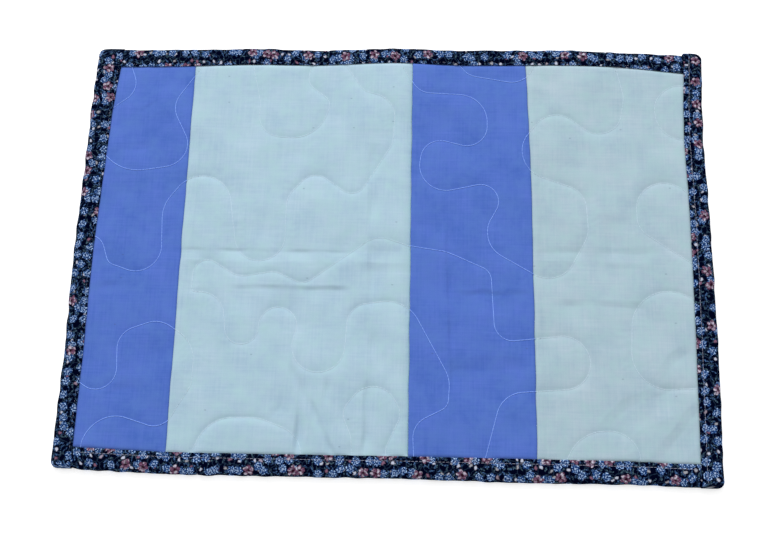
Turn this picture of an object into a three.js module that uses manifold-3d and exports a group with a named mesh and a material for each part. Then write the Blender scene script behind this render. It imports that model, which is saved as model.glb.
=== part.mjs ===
// Quilted patchwork placemat: pieced panels, wavy quilting, a folded flower-print binding.
// Millimetres, +Z up, lying flat. The origin is under the middle of the mat; +Y is the far edge.

import * as THREE from "three";
import { mergeVertices } from "three/addons/utils/BufferGeometryUtils.js";
import loadManifold from "manifold-3d";

const wasm = await loadManifold();
wasm.setup();

// Driving dimensions: a usual quilted mat of 18 by 12½ inches
const mat = { width: 457, depth: 318 };
const gap = 0.3; // between neighbouring pieces
const quilt = {
  stitched: 2.5, // thickness under a quilting line
  full: 4.4, // thickness of the fullest puffs
  swell: 5.5, // distance over which the cloth rises beside a quilting line
  seamDip: 1.1, // how far a seam or the binding draws the cloth down
  seamReach: 4, // and how far from the edge that is felt
  step: 7.4, // spacing of the points on a panel's face
};
const drawn = { within: 0.55, apart: 0.5, fromSide: 0.33, leastCell: 0.025 }; // shares of that spacing
const edge = { bottom: 1.3, top: 2.9, reach: 2.6, seamInset: 0.6, steps: 12 }; // inside the binding
const pocket = { bottom: 1.0, top: 3.2, reach: 2.2, mouth: 1 }; // space that the binding folds around
const strip = { step: 16, cornerRound: 5, endSoft: 0.3, endWall: 2.2, endSteps: [0.4, 1.2, 2.6, 5] };

// Binding along each side: at = place along the side, out = how far the edge strays outwards,
// face = width of the strip that shows on top
const binding = {
  top: [
    { at: -220, out: -1.1, face: 15.2 },
    { at: -165, out: -1.0, face: 14.5 },
    { at: -110, out: 0.4, face: 14.0 },
    { at: -55, out: -0.5, face: 13.0 },
    { at: 0, out: 1.5, face: 12.5 },
    { at: 55, out: 0.2, face: 12.9 },
    { at: 120, out: 1.0, face: 13.0 },
    { at: 165, out: -0.4, face: 12.6 },
    { at: 214, out: -2.4, face: 15.4 },
  ],
  bottom: [
    { at: -224, out: -3.0, face: 13.5 },
    { at: -205, out: -0.5, face: 14.9 },
    { at: -143, out: 0.9, face: 14.9 },
    { at: -46, out: 0.3, face: 15.0 },
    { at: 30, out: -0.1, face: 15.3 },
    { at: 100, out: 0.3, face: 16.0 },
    { at: 150, out: -0.5, face: 15.5 },
    { at: 213, out: 0.2, face: 15.3 },
  ],
  left: [
    { at: -131, out: -0.1, face: 14.5 },
    { at: -73, out: -0.5, face: 14.1 },
    { at: -6, out: 0.8, face: 14.7 },
    { at: 48, out: 0.2, face: 15.4 },
    { at: 112, out: -0.2, face: 17.2 },
    { at: 160, out: -1.2, face: 20.2 },
  ],
  right: [
    { at: -143, out: -0.7, face: 15.2 },
    { at: -95, out: 0.4, face: 15.6 },
    { at: -47, out: 0.8, face: 15.3 },
    { at: 38, out: 0.2, face: 14.4 },
    { at: 92, out: -0.9, face: 14.3 },
    { at: 148, out: 1.0, face: 13.8 },
  ],
};
const sideEnds = { left: { near: -157.9, far: 157.9 }, right: { near: -159.3, far: 157.8 } };

// Binding section: from = the edge it is measured from, inset = distance in from that edge
const foldSection = [
  { from: "inner", inset: 0, z: 0 },
  { from: "outer", inset: 1.8, z: 0 },
  { from: "outer", inset: 0.4, z: 0.8 },
  { from: "outer", inset: 0, z: 2.1 },
  { from: "outer", inset: 0.5, z: 3.4 },
  { from: "outer", inset: 2.2, z: 4.3 },
  { from: "outer", inset: 5.5, z: 4.6 },
  { from: "inner", inset: 5.0, z: 4.45 },
  { from: "inner", inset: 2.8, z: 4.0 }, // pressed down by the topstitching
  { from: "inner", inset: 1.2, z: 4.2 },
  { from: "inner", inset: 0, z: 3.9 },
];

// Seams between the panels: at = place along the depth of the mat, x = place of the seam there
const seams = [
  [{ at: -160, x: -149.1 }, { at: 0, x: -150.3 }, { at: 160, x: -151.2 }],
  [{ at: -160, x: 17.2 }, { at: 0, x: 15.5 }, { at: 160, x: 13.9 }],
  [{ at: -160, x: 104.2 }, { at: 0, x: 102.6 }, { at: 70, x: 101.5 }, { at: 160, x: 98.2 }],
];

// Quilting lines: x, y = centre of each turn, r = its radius, above 0 where the line turns left.
// A row with r = 0 is an end of the line, under the binding.
const quiltingLines = [
  [{ x: -203, y: 150, r: 0 }, { x: -211.5, y: 128.5, r: -15.8 }, { x: -215, y: 106, r: 0 }],
  [
    { x: -143, y: 148, r: 0 }, { x: -145, y: 110, r: 18.5 }, { x: -169.5, y: 79.5, r: -17.4 },
    { x: -187.5, y: 92, r: -33 }, { x: -218, y: 75, r: 0 },
  ],
  [
    { x: -107.5, y: 148, r: 0 }, { x: -127.5, y: 111, r: -28 }, { x: -82, y: 104.5, r: 17.6 },
    { x: -75, y: 113.5, r: 27 }, { x: -57, y: 112.5, r: 9.5 }, { x: -54, y: 135, r: -10 },
    { x: -62, y: 148, r: 0 },
  ],
  [
    { x: -38, y: 148, r: 0 }, { x: -13, y: 136.5, r: 14 }, { x: -17, y: 104, r: -18.5 },
    { x: -13.5, y: 87, r: -14.3 }, { x: -28.5, y: 54, r: -10.3 }, { x: -55, y: 43.8, r: 13.4 },
    { x: -57.8, y: 34, r: 17.7 }, { x: -93.5, y: 9.8, r: -18.2 }, { x: -138.5, y: 33.5, r: 22 },
    { x: -139, y: 24, r: 27.2 }, { x: -182.5, y: 0, r: -17.8 }, { x: -196.8, y: -6, r: -7.5 },
    { x: -219, y: -4.5, r: 13 }, { x: -232, y: 9, r: 0 },
  ],
  [
    { x: 67.5, y: -150, r: 0 }, { x: 96, y: -118, r: -19.5 }, { x: 122.5, y: -77.5, r: 18.6 },
    { x: 88, y: -50, r: -13 }, { x: 62.7, y: -20.3, r: 10.5 }, { x: 36, y: -20, r: 21 },
    { x: 18.5, y: 23, r: -19 }, { x: -6, y: -9, r: 19 }, { x: -61.5, y: -13, r: -10.8 },
    { x: -83, y: -31, r: 14.5 }, { x: -104, y: -3, r: -16.8 }, { x: -130, y: -18.7, r: 10.2 },
    { x: -137.2, y: -29.2, r: 3 }, { x: -133.5, y: -50, r: -17.8 }, { x: -102.5, y: -57.5, r: 11.8 },
    { x: -77, y: -55.5, r: -13.4 }, { x: -47.5, y: -69.3, r: 18.6 }, { x: -13.5, y: -53, r: -14.6 },
    { x: -0.5, y: -62, r: -25.6 }, { x: 20, y: -96, r: -24.3 }, { x: 35.5, y: -104.5, r: -8.3 },
    { x: 35, y: -131, r: 15 }, { x: 21, y: -147, r: 0 },
  ],
  [
    { x: -217, y: -97, r: 0 }, { x: -202.6, y: -89.4, r: 14 }, { x: -174.5, y: -73.5, r: -15.2 },
    { x: -163.5, y: -73, r: -18.5 }, { x: -161, y: -83.5, r: -26.2 }, { x: -146, y: -95.5, r: -11.2 },
    { x: -159.3, y: -113.8, r: -13.9 }, { x: -185, y: -145, r: 23.3 }, { x: -208.4, y: -148, r: 0 },
  ],
  [
    { x: -133, y: -148, r: 0 }, { x: -104, y: -146.5, r: -26 }, { x: -93, y: -158, r: -37.8 },
    { x: -77, y: -146, r: -21 }, { x: -55, y: -150, r: 0 },
  ],
  [
    { x: -21.5, y: -148, r: 0 }, { x: -40, y: -136, r: 18 }, { x: -16, y: -116, r: -12 },
    { x: -8, y: -114, r: -17 }, { x: -1.5, y: -115.5, r: -12.2 }, { x: 16.5, y: -141.5, r: 15 },
    { x: 2, y: -151, r: 0 },
  ],
  [
    { x: 47, y: 149, r: 0 }, { x: 64, y: 152, r: 15 }, { x: 88, y: 149.5, r: 16.7 },
    { x: 106, y: 148, r: 0 },
  ],
  [
    { x: 5, y: 147, r: 0 }, { x: 28, y: 138.5, r: 15 }, { x: 48, y: 100.5, r: -22 },
    { x: 55, y: 96.8, r: -15 }, { x: 36, y: 71, r: 14.5 }, { x: 40, y: 66, r: 19.2 },
    { x: 65.2, y: 38.5, r: -13 }, { x: 90.5, y: 15.5, r: 20.2 }, { x: 113, y: 2.5, r: 20 },
    { x: 119, y: 20, r: 23 }, { x: 123.5, y: 34.5, r: 17.8 }, { x: 117, y: 78, r: -21.5 },
    { x: 121, y: 88.5, r: -18.3 }, { x: 151.5, y: 109.5, r: 17 }, { x: 147.2, y: 121, r: 23 },
    { x: 164.5, y: 150, r: 0 },
  ],
  [
    { x: 222, y: 132, r: 0 }, { x: 213, y: 111, r: 20.3 }, { x: 213.5, y: 109, r: 20.6 },
    { x: 222, y: 88, r: 0 },
  ],
  [
    { x: 220, y: 42, r: 0 }, { x: 197, y: 34.5, r: 20.3 }, { x: 192.5, y: 28, r: 15.6 },
    { x: 219, y: -8, r: 0 },
  ],
  [
    { x: 221, y: -34, r: 0 }, { x: 197, y: -52, r: 26.5 }, { x: 194, y: -69.8, r: 24.5 },
    { x: 220, y: -92.5, r: 0 },
  ],
  [
    { x: 121, y: -149, r: 0 }, { x: 150.5, y: -150.8, r: -27.3 }, { x: 153.5, y: -142.7, r: -19.3 },
    { x: 173, y: -150, r: 0 },
  ],
];
const lineStep = 2; // spacing of the points that stand for a quilting line

// Creases left by folding the mat: from one end to the other, deep at the middle of their width
const creases = [
  { x1: -150, y1: 1.5, x2: 15, y2: 1.5, deep: 0.5, wide: 4 },
  { x1: -150, y1: -8, x2: 15, y2: -8, deep: 0.4, wide: 4 },
  { x1: -108, y1: -26.5, x2: -30, y2: -26.5, deep: 0.6, wide: 4 },
  { x1: 103, y1: 2.5, x2: 190, y2: 2.5, deep: 0.4, wide: 4 },
  { x1: 42.5, y1: -22, x2: 46.5, y2: -88, deep: 0.4, wide: 4 },
  { x1: 122, y1: -33.5, x2: 180, y2: -33.5, deep: 0.4, wide: 5 },
];

const cloth = { roughness: 0.9, metalness: 0 };
const blueCotton = new THREE.MeshStandardMaterial({ color: 0x5775cb, ...cloth });
const paleCotton = new THREE.MeshStandardMaterial({ color: 0xaecadb, ...cloth });
const flowerPrint = new THREE.MeshStandardMaterial({ color: 0x23273a, ...cloth });

// Value of one column of a table at a place along it, on a smooth curve through the rows
function along(rows, column, at) {
  const last = rows.length - 1;
  const place = THREE.MathUtils.clamp(at, rows[0].at, rows[last].at);
  let i = 0;
  while (i < last - 1 && rows[i + 1].at < place) i += 1;
  const slope = (k) => {
    const before = rows[Math.max(k - 1, 0)];
    const after = rows[Math.min(k + 1, last)];
    return (after[column] - before[column]) / (after.at - before.at);
  };
  const span = rows[i + 1].at - rows[i].at;
  const t = (place - rows[i].at) / span;
  const ease = t * t * (3 - 2 * t);
  const leave = slope(i) * span * t * (1 - t) * (1 - t);
  const arrive = slope(i + 1) * span * t * t * (t - 1);
  return THREE.MathUtils.lerp(rows[i][column], rows[i + 1][column], ease) + leave + arrive;
}

// Distance of the mat's edge, and of the binding's inner edge, from the middle of the mat
const halfSize = { top: mat.depth / 2, bottom: mat.depth / 2, left: mat.width / 2, right: mat.width / 2 };
const outerEdge = (side, at) => halfSize[side] + along(binding[side], "out", at);
const innerEdge = (side, at) => outerEdge(side, at) - along(binding[side], "face", at);

// Points of a quilting line: straight runs that join round turns without a corner
function linePoints(turns) {
  const headings = turns.slice(1).map((next, i) => {
    const turn = turns[i];
    const distance = Math.hypot(next.x - turn.x, next.y - turn.y);
    return Math.atan2(next.y - turn.y, next.x - turn.x) - Math.asin((next.r - turn.r) / distance);
  });
  const points = [];
  turns.forEach((turn, i) => {
    const arrive = headings[Math.max(i - 1, 0)];
    const leave = headings[Math.min(i, headings.length - 1)];
    const swing = THREE.MathUtils.euclideanModulo((leave - arrive) * Math.sign(turn.r), 2 * Math.PI);
    const steps = Math.max(1, Math.ceil((swing * Math.abs(turn.r)) / lineStep));
    for (let k = 0; k <= steps; k += 1) {
      const heading = arrive + (Math.sign(turn.r) * swing * k) / steps;
      points.push([turn.x + turn.r * Math.sin(heading), turn.y - turn.r * Math.cos(heading)]);
    }
  });
  return points;
}

function nearestOnSegment([ax, ay], [bx, by], x, y) {
  const dx = bx - ax;
  const dy = by - ay;
  const length = dx * dx + dy * dy || 1;
  const t = THREE.MathUtils.clamp(((x - ax) * dx + (y - ay) * dy) / length, 0, 1);
  const px = ax + dx * t;
  const py = ay + dy * t;
  return { x: px, y: py, distance: Math.hypot(px - x, py - y) };
}

const quilting = quiltingLines.map(linePoints);

function nearestQuilting(x, y) {
  let best = { distance: Infinity };
  for (const points of quilting) {
    for (let i = 1; i < points.length; i += 1) {
      const found = nearestOnSegment(points[i - 1], points[i], x, y);
      if (found.distance < best.distance) best = found;
    }
  }
  return best;
}

// Thickness of the quilt at a place: stitched down on the lines, full between them
function thickness(x, y, toEdge) {
  const swell = 1 - Math.exp(-nearestQuilting(x, y).distance / quilt.swell);
  let z = quilt.stitched + (quilt.full - quilt.stitched) * swell;
  z -= quilt.seamDip * swell * Math.exp(-toEdge / quilt.seamReach);
  for (const crease of creases) {
    const { distance } = nearestOnSegment([crease.x1, crease.y1], [crease.x2, crease.y2], x, y);
    z -= crease.deep * swell * Math.exp(-((distance / crease.wide) ** 2));
  }
  return z;
}

function solidOf(positions, triangles) {
  const vertProperties = new Float32Array(positions);
  const triVerts = new Uint32Array(triangles);
  return new wasm.Manifold(new wasm.Mesh({ numProp: 3, vertProperties, triVerts }));
}

function solidOfGeometry(geometry) {
  geometry.deleteAttribute("normal");
  geometry.deleteAttribute("uv");
  const merged = mergeVertices(geometry);
  return solidOf(merged.attributes.position.array, merged.index.array);
}

function meshOf(name, solid, material) {
  const { vertProperties, triVerts } = solid.getMesh();
  const geometry = new THREE.BufferGeometry();
  geometry.setAttribute("position", new THREE.BufferAttribute(new Float32Array(vertProperties), 3));
  geometry.setIndex(new THREE.BufferAttribute(new Uint32Array(triVerts), 1));
  geometry.computeVertexNormals();
  const mesh = new THREE.Mesh(geometry, material);
  mesh.name = name;
  return mesh;
}

// Sides of a panel's face: seams or the binding's inner edges, with the gap taken off
const faceSides = {
  left: (i, y) => (i === 0 ? gap - innerEdge("left", y) : along(seams[i - 1], "x", y) + gap / 2),
  right: (i, y) => (i === seams.length ? innerEdge("right", y) - gap : along(seams[i], "x", y) - gap / 2),
  bottom: (x) => gap - innerEdge("bottom", x),
  top: (x) => innerEdge("top", x) - gap,
};

// Sides of the quilt's edge that runs on inside the binding
const hiddenSides = {
  left: (i, y) =>
    i === 0 ? edge.reach - outerEdge("left", y) : along(seams[i - 1], "x", y) + edge.seamInset,
  right: (i, y) =>
    i === seams.length ? outerEdge("right", y) - edge.reach : along(seams[i], "x", y) - edge.seamInset,
  bottom: (x) => edge.reach - outerEdge("bottom", x),
  top: (x) => outerEdge("top", x) - edge.reach,
};

// Place at a share u across and v up a four-sided outline with wavy sides
function placeIn(sides, i, u, v) {
  let x = THREE.MathUtils.lerp(sides.left(i, 0), sides.right(i, 0), u);
  let y = 0;
  for (let pass = 0; pass < 4; pass += 1) {
    y = THREE.MathUtils.lerp(sides.bottom(x), sides.top(x), v);
    x = THREE.MathUtils.lerp(sides.left(i, y), sides.right(i, y), u);
  }
  return [x, y];
}

function toSides(sides, i, [x, y]) {
  return Math.min(x - sides.left(i, y), sides.right(i, y) - x, y - sides.bottom(x), sides.top(x) - y);
}

// Grid of places on a panel's face, with points drawn onto the quilting lines that pass close by
function faceGrid(i) {
  const wide = faceSides.right(i, 0) - faceSides.left(i, 0);
  const deep = faceSides.top(0) - faceSides.bottom(0);
  const columns = Math.round(wide / quilt.step);
  const rows = Math.round(deep / quilt.step);
  const grid = [];
  const wanted = [];
  for (let r = 0; r <= rows; r += 1) {
    for (let c = 0; c <= columns; c += 1) {
      const place = placeIn(faceSides, i, c / columns, r / rows);
      grid.push(place);
      const inside = r > 0 && r < rows && c > 0 && c < columns;
      const line = nearestQuilting(...place);
      const keepsClear = toSides(faceSides, i, [line.x, line.y]) > quilt.step * drawn.fromSide;
      if (inside && keepsClear && line.distance < quilt.step * drawn.within) {
        wanted.push({ index: r * (columns + 1) + c, line });
      }
    }
  }
  wanted.sort((a, b) => a.line.distance - b.line.distance);
  const onLine = new Set();
  for (const { index, line } of wanted) {
    const around = [-1, 0, 1].flatMap((r) => [-1, 0, 1].map((c) => index + r * (columns + 1) + c));
    const crowded = around.some(
      (k) => k !== index && Math.hypot(grid[k][0] - line.x, grid[k][1] - line.y) < quilt.step * drawn.apart,
    );
    if (crowded) continue;
    grid[index] = [line.x, line.y];
    onLine.add(index);
  }
  return { grid, rows, columns, onLine };
}

const turnedLeft = ([ax, ay], [bx, by], [cx, cy]) => (bx - ax) * (cy - ay) - (by - ay) * (cx - ax);

// Two triangles for a four-cornered cell, split along the quilting line where it crosses the cell
function splitCell(grid, onLine, [a, b, c, d]) {
  const room = (...corners) => turnedLeft(...corners.map((k) => grid[k]));
  const alongAC = Math.min(room(a, b, c), room(a, c, d));
  const alongBD = Math.min(room(a, b, d), room(b, c, d));
  const least = quilt.step ** 2 * drawn.leastCell;
  const lineAC = onLine.has(a) && onLine.has(c);
  const lineBD = onLine.has(b) && onLine.has(d);
  const prefersBD = lineBD && !lineAC ? alongBD > least : alongAC < least && alongBD > alongAC;
  return prefersBD ? [a, b, d, b, c, d] : [a, b, c, a, c, d];
}

// Quilted panel: a relief face, plain walls, a flat underside, and its edge inside the binding
function panel(name, i, material) {
  const { grid, rows, columns, onLine } = faceGrid(i);
  const positions = grid.flatMap(([x, y]) => [x, y, thickness(x, y, toSides(faceSides, i, [x, y]))]);
  const at = (r, c) => r * (columns + 1) + c;
  const triangles = [];
  for (let r = 0; r < rows; r += 1) {
    for (let c = 0; c < columns; c += 1) {
      triangles.push(...splitCell(grid, onLine, [at(r, c), at(r, c + 1), at(r + 1, c + 1), at(r + 1, c)]));
    }
  }
  const rim = [];
  for (let c = 0; c < columns; c += 1) rim.push(at(0, c));
  for (let r = 0; r < rows; r += 1) rim.push(at(r, columns));
  for (let c = columns; c > 0; c -= 1) rim.push(at(rows, c));
  for (let r = rows; r > 0; r -= 1) rim.push(at(r, 0));
  const under = grid.length; // index of the first point of the underside
  rim.forEach((k) => positions.push(grid[k][0], grid[k][1], 0));
  rim.forEach((k, n) => {
    const next = (n + 1) % rim.length;
    triangles.push(k, under + n, under + next, k, under + next, rim[next]);
  });
  const outline = rim.map((k) => new THREE.Vector2(...grid[k]));
  for (const [a, b, c] of THREE.ShapeUtils.triangulateShape(outline, [])) {
    triangles.push(under + a, under + c, under + b);
  }
  return meshOf(name, solidOf(positions, triangles).add(quiltEdge(i)), material);
}

function quiltEdge(i) {
  const shares = Array.from({ length: edge.steps }, (_, k) => k / edge.steps);
  const outline = [
    ...shares.map((t) => placeIn(hiddenSides, i, t, 0)),
    ...shares.map((t) => placeIn(hiddenSides, i, 1, t)),
    ...shares.map((t) => placeIn(hiddenSides, i, 1 - t, 1)),
    ...shares.map((t) => placeIn(hiddenSides, i, 0, 1 - t)),
  ];
  const shape = new THREE.Shape(outline.map(([x, y]) => new THREE.Vector2(x, y)));
  const slab = new THREE.ExtrudeGeometry(shape, { depth: edge.top - edge.bottom, bevelEnabled: false });
  slab.translate(0, 0, edge.bottom);
  return solidOfGeometry(slab);
}

// Closed solid through a row of closed sections with as many points as the flat outline of its ends
function loft(sections, endOutline) {
  const count = endOutline.length;
  const positions = sections.flat(2);
  const triangles = [];
  for (let s = 0; s + 1 < sections.length; s += 1) {
    for (let k = 0; k < count; k += 1) {
      const next = (k + 1) % count;
      const [a, b] = [s * count + k, s * count + next];
      triangles.push(a, b, b + count, a, b + count, a + count);
    }
  }
  const cap = THREE.ShapeUtils.triangulateShape(endOutline, []);
  const end = (sections.length - 1) * count;
  for (const [a, b, c] of cap) triangles.push(a, c, b, end + a, end + b, end + c);
  if (volumeOf(positions, triangles) < 0) {
    for (let t = 0; t < triangles.length; t += 3) {
      [triangles[t], triangles[t + 1]] = [triangles[t + 1], triangles[t]];
    }
  }
  return solidOf(positions, triangles);
}

function volumeOf(positions, triangles) {
  const corner = (k) => new THREE.Vector3().fromArray(positions, 3 * k);
  let sum = 0;
  for (let t = 0; t < triangles.length; t += 3) {
    const [a, b, c] = [0, 1, 2].map((k) => corner(triangles[t + k]));
    sum += a.dot(b.cross(c)) / 6;
  }
  return sum;
}

// Where a point of each strip lies: along its side, out from the middle of the mat, and up
const strips = {
  top: { place: (at, out, z) => [at, out, z] },
  bottom: { place: (at, out, z) => [at, -out, z] },
  left: { place: (at, out, z) => [-out, at, z] },
  right: { place: (at, out, z) => [out, at, z] },
};

// Ends of a strip: the far and near strips stop at the side strips, which run the whole depth
function stripEnds(side, out) {
  if (side in sideEnds) return [sideEnds[side].near, sideEnds[side].far];
  const at = side === "top" ? out : -out;
  return [gap - innerEdge("left", at), innerEdge("right", at) - gap];
}

// How far a side strip's corner is rounded off, and its height drawn in, close to its end
function endShape(side, toEnd) {
  const short = Math.max(0, strip.cornerRound - toEnd);
  if (!(side in sideEnds) || short === 0) return { cut: 0, lower: 0 };
  const cut = strip.cornerRound - Math.sqrt(strip.cornerRound ** 2 - short ** 2);
  return { cut, lower: strip.endSoft * (short / strip.cornerRound) ** 3 };
}

// Shares of a strip's length where its sections stand, closer together at rounded ends
function stations(side) {
  const [start, end] = stripEnds(side, halfSize[side]);
  const length = end - start;
  const count = Math.round(length / strip.step);
  const even = Array.from({ length: count + 1 }, (_, k) => k / count);
  if (!(side in sideEnds)) return even;
  const rounded = strip.endSteps.map((toEnd) => toEnd / length);
  return [0, ...rounded, ...even.slice(1, -1), ...rounded.map((t) => 1 - t).reverse(), 1];
}

function foldedStrip(side) {
  const middle = foldSection.reduce((high, row) => Math.max(high, row.z), 0) / 2;
  const sections = stations(side).map((t) => {
    const [start, end] = stripEnds(side, halfSize[side]);
    const at = THREE.MathUtils.lerp(start, end, t);
    const { cut, lower } = endShape(side, Math.min(at - start, end - at));
    const outer = outerEdge(side, at) - cut;
    const inner = innerEdge(side, at);
    return foldSection.map(({ from, inset, z }) => {
      const out = from === "outer" ? outer - inset : inner + inset;
      const [first, last] = stripEnds(side, out);
      const height = THREE.MathUtils.lerp(z, middle, lower);
      return strips[side].place(THREE.MathUtils.lerp(first, last, t), out, height);
    });
  });
  const endOutline = foldSection.map(
    ({ from, inset, z }) => new THREE.Vector2(from === "outer" ? binding[side][0].face - inset : inset, z),
  );
  return loft(sections, endOutline);
}

// Space inside the fold: it opens to the quilt, and a side strip closes it at both ends
function foldPocket(side) {
  const [start, end] = stripEnds(side, halfSize[side]);
  const closed = side in sideEnds;
  const from = closed ? start + strip.endWall : start - strip.step;
  const to = closed ? end - strip.endWall : end + strip.step;
  const count = Math.round((to - from) / strip.step);
  const sections = Array.from({ length: count + 1 }, (_, k) => {
    const at = THREE.MathUtils.lerp(from, to, k / count);
    const outer = outerEdge(side, at) - pocket.reach;
    const inner = innerEdge(side, at) - pocket.mouth;
    const { bottom, top } = pocket;
    const corners = [[inner, bottom], [outer, bottom], [outer, top], [inner, top]];
    return corners.map(([out, z]) => strips[side].place(at, out, z));
  });
  const square = [[0, 0], [1, 0], [1, 1], [0, 1]].map(([x, y]) => new THREE.Vector2(x, y));
  return loft(sections, square);
}

const placemat = new THREE.Group();
placemat.name = "placemat";
placemat.add(
  panel("panel_blue_left", 0, blueCotton),
  panel("panel_pale_left", 1, paleCotton),
  panel("panel_blue_right", 2, blueCotton),
  panel("panel_pale_right", 3, paleCotton),
);
for (const side of Object.keys(strips)) {
  placemat.add(meshOf(`binding_${side}`, foldedStrip(side).subtract(foldPocket(side)), flowerPrint));
}

export default placemat;
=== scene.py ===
import math
import bpy
import numpy as np
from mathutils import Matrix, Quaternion, Vector
from mathutils.kdtree import KDTree


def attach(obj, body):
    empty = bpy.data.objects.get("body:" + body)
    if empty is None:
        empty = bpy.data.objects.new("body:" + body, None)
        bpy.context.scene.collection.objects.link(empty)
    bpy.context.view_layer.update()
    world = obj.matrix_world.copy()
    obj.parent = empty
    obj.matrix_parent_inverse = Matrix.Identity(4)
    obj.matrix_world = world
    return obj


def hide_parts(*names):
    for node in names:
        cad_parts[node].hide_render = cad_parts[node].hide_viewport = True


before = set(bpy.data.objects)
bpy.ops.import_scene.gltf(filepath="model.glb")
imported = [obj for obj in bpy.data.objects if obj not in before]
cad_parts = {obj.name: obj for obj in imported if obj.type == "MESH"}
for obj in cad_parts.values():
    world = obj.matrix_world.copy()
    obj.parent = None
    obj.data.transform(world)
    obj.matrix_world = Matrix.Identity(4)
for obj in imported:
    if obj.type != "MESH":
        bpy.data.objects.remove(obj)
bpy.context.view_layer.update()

mm = 0.001  # sizes below are in millimetres, Blender works in metres
print("frame loaded:", len(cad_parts), "nodes")


# Small helpers

def hexToLinear(code):
    shares = [int(code[i:i + 2], 16) / 255 for i in (0, 2, 4)]
    linear = [c / 12.92 if c <= 0.04045 else ((c + 0.055) / 1.055) ** 2.4 for c in shares]
    return (*linear, 1.0)


def addNode(tree, kind, inputs=None, **settings):
    node = tree.nodes.new(kind)
    for name, value in settings.items():
        setattr(node, name, value)
    for key, value in (inputs or {}).items():
        if isinstance(value, bpy.types.NodeSocket):
            tree.links.new(value, node.inputs[key])
        else:
            node.inputs[key].default_value = value
    return node


def newMaterial(name):
    material = bpy.data.materials.new(name)
    material.use_nodes = True
    material.node_tree.nodes.clear()
    return material, material.node_tree


def newPiece(name, points, faces, materials, faceMaterials=None):
    mesh = bpy.data.meshes.new(name)
    mesh.from_pydata((np.asarray(points) * mm).tolist(), [], faces)
    for material in materials:
        mesh.materials.append(material)
    mesh.polygons.foreach_set("use_smooth", np.ones(len(mesh.polygons), bool))
    if faceMaterials is not None:
        mesh.polygons.foreach_set("material_index", faceMaterials)
    mesh.update()
    piece = bpy.data.objects.new(name, mesh)
    bpy.context.collection.objects.link(piece)
    return piece


# Gentle unevenness, about 1 high, with swells of about the given size. The seed picks one of many.
def softWaves(x, y, size, seed):
    waves = 12
    shortest = 0.7  # share of the size
    spread = 0.9
    draw = np.random.default_rng(seed)
    total = np.zeros(np.broadcast(x, y).shape)
    for angle, stretch, phase in draw.uniform(size=(waves, 3)):
        length = size * (shortest + spread * stretch)
        across = x * math.cos(math.tau * angle) + y * math.sin(math.tau * angle)
        total += np.sin(math.tau * (across / length + phase))
    return total / math.sqrt(waves / 2)


def eased(t):  # from 0 to 1, level at both ends
    return t * t * (3 - 2 * t)


# Edges, seams and quilting: the same sizes as in the solids

matSize = dict(width=457, depth=318)
halfSize = dict(
    top=matSize["depth"] / 2, bottom=matSize["depth"] / 2,
    left=matSize["width"] / 2, right=matSize["width"] / 2,
)

bindingEdges = dict(  # at = place along the side, out = how far the edge strays, face = width on top
    top=[
        dict(at=-220, out=-1.1, face=15.2),
        dict(at=-165, out=-1.0, face=14.5),
        dict(at=-110, out=0.4, face=14.0),
        dict(at=-55, out=-0.5, face=13.0),
        dict(at=0, out=1.5, face=12.5),
        dict(at=55, out=0.2, face=12.9),
        dict(at=120, out=1.0, face=13.0),
        dict(at=165, out=-0.4, face=12.6),
        dict(at=214, out=-2.4, face=15.4),
    ],
    bottom=[
        dict(at=-224, out=-3.0, face=13.5),
        dict(at=-205, out=-0.5, face=14.9),
        dict(at=-143, out=0.9, face=14.9),
        dict(at=-46, out=0.3, face=15.0),
        dict(at=30, out=-0.1, face=15.3),
        dict(at=100, out=0.3, face=16.0),
        dict(at=150, out=-0.5, face=15.5),
        dict(at=213, out=0.2, face=15.3),
    ],
    left=[
        dict(at=-131, out=-0.1, face=14.5),
        dict(at=-73, out=-0.5, face=14.1),
        dict(at=-6, out=0.8, face=14.7),
        dict(at=48, out=0.2, face=15.4),
        dict(at=112, out=-0.2, face=17.2),
        dict(at=160, out=-1.2, face=20.2),
    ],
    right=[
        dict(at=-143, out=-0.7, face=15.2),
        dict(at=-95, out=0.4, face=15.6),
        dict(at=-47, out=0.8, face=15.3),
        dict(at=38, out=0.2, face=14.4),
        dict(at=92, out=-0.9, face=14.3),
        dict(at=148, out=1.0, face=13.8),
    ],
)
sideEnds = dict(left=(-157.9, 157.9), right=(-159.3, 157.8))  # near and far ends of the side strips

seamLines = [  # at = place along the depth of the mat, x = place of the seam there
    [dict(at=-160, x=-149.1), dict(at=0, x=-150.3), dict(at=160, x=-151.2)],
    [dict(at=-160, x=17.2), dict(at=0, x=15.5), dict(at=160, x=13.9)],
    [dict(at=-160, x=104.2), dict(at=0, x=102.6), dict(at=70, x=101.5), dict(at=160, x=98.2)],
]
seamWander = dict(by=0.12, length=26, seed=40)  # a sewn seam is never quite straight

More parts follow.
